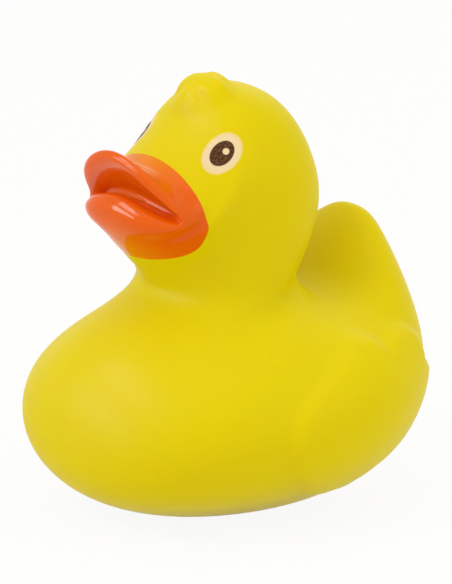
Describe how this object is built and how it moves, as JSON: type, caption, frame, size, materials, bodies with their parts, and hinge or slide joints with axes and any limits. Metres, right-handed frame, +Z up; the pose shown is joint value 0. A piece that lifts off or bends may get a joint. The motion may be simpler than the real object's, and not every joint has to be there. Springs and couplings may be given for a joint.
{
  "type": "rubber duck",
  "caption": "Hollow moulded vinyl bath duck with an open curled bill, wings in relief and a small crest, standing on a flat foot.",
  "frame": {"origin": "under the middle of the duck's box, at the level of the flat foot", "axes": "+Z up, the duck looks along -Y, its left side is +X"},
  "size_m": [0.0754, 0.081, 0.0879],
  "materials": {
    "vinyl": "satin yellow vinyl"
  },
  "bodies": {
    "root": {"duck_shell": "vinyl"}
  },
  "joints": []
}
